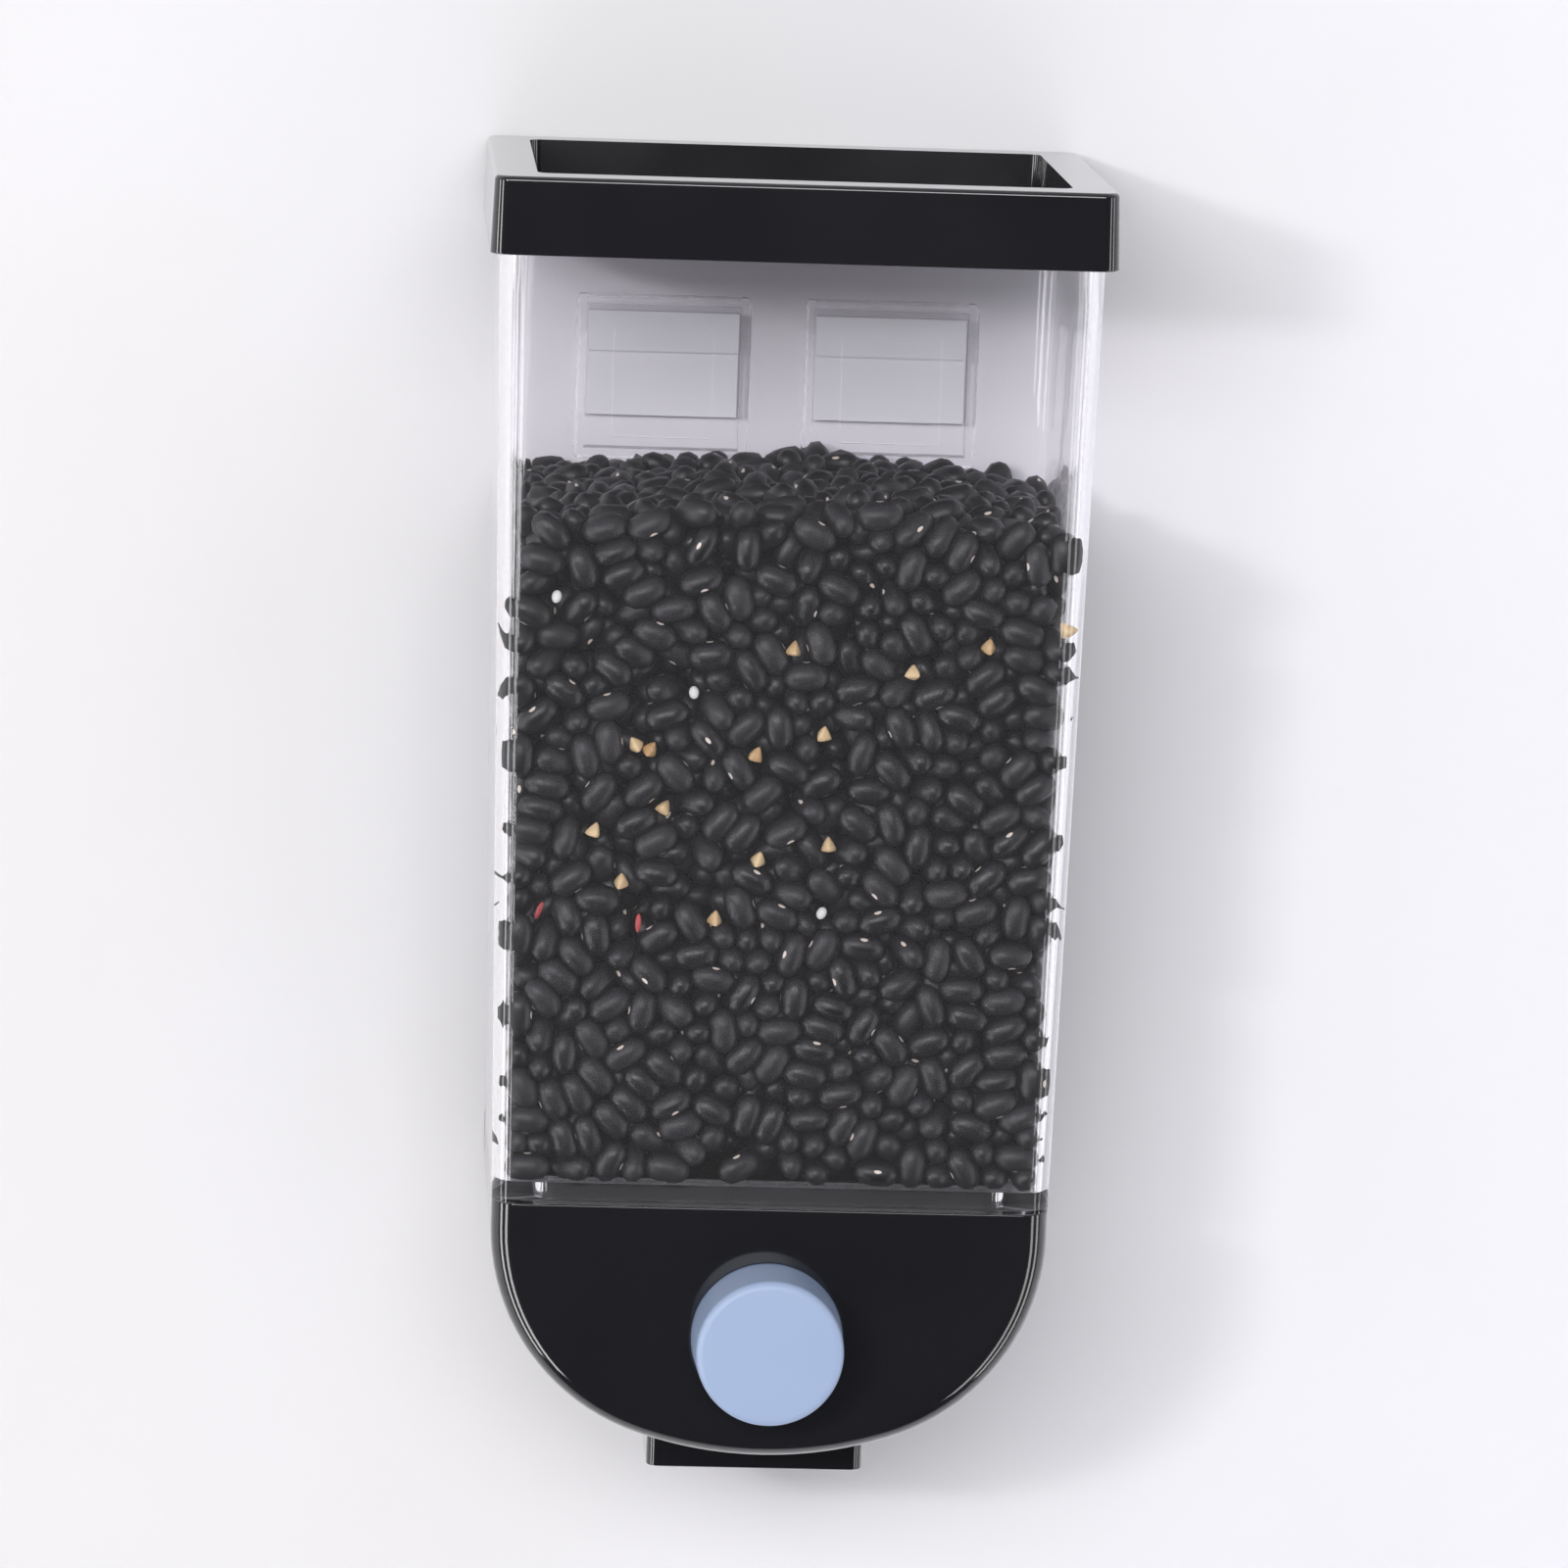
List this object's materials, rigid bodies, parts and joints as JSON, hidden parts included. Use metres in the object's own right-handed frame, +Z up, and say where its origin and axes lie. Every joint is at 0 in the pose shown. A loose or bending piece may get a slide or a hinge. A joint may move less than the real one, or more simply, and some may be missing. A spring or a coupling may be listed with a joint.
{
  "type": "wall-mounted bulk food bin",
  "caption": "Clear tapered food hopper with a lift-off lid and a rounded base that lets dry food out of a spout when its button is pressed; it hangs on a wall.",
  "frame": {"origin": "on the hopper's back face, which lies against the wall, midway between the two wall plates", "axes": "+X to the right seen from the front, +Y into the wall, +Z up"},
  "size_m": [0.119, 0.1025, 0.257],
  "materials": {
    "clear_plastic": "clear glossy moulded styrene plastic with a faint lavender tint",
    "black_gloss_plastic": "glossy black moulded plastic",
    "black_inner_plastic": "satin black moulded plastic",
    "guide_plastic": "satin dark grey low-friction plastic",
    "shutter_plastic": "satin pale grey low-friction plastic",
    "blue_plastic": "satin light blue moulded plastic",
    "white_plastic": "satin white moulded plastic",
    "foam_pad": "matt closed-cell adhesive foam",
    "silicone": "matt grey silicone",
    "screw_steel": "zinc-plated steel",
    "spring_steel": "drawn spring steel wire"
  },
  "bodies": {
    "wall_mount": {"left_wall_plate": "white_plastic", "right_wall_plate": "white_plastic", "left_adhesive_pad": "foam_pad", "right_adhesive_pad": "foam_pad"},
    "bin": {"hopper": "clear_plastic", "hopper_gasket": "silicone", "funnel": "black_inner_plastic", "base_housing": "black_gloss_plastic", "rear_cover": "black_inner_plastic", "rear_screws": "screw_steel", "button_guide": "guide_plastic", "shutter_seal": "silicone", "shutter_track": "guide_plastic", "outlet_spout": "black_gloss_plastic", "spout_screws": "screw_steel", "return_spring": "spring_steel"},
    "button": {"push_button": "blue_plastic", "plunger": "black_inner_plastic", "spring_washer": "screw_steel", "button_screw": "screw_steel", "shutter_plate": "shutter_plastic", "shutter_screws": "screw_steel"},
    "lid": {"lid": "black_gloss_plastic", "lid_seal": "silicone"}
  },
  "joints": [
    {"name": "bin_lift", "type": "slide", "parent": "wall_mount", "child": "bin", "axis": [0, 0, 1], "range_m": [0, 0.006]},
    {"name": "lid_lift", "type": "slide", "parent": "bin", "child": "lid", "axis": [0, 0, 1], "range_m": [0, 0.03]},
    {"name": "button_push", "type": "slide", "parent": "bin", "child": "button", "axis": [0, 1, 0], "range_m": [0, 0.01], "stiffness_N_per_m": 250, "springref_m": -0.004, "deforming": ["return_spring"]}
  ]
}
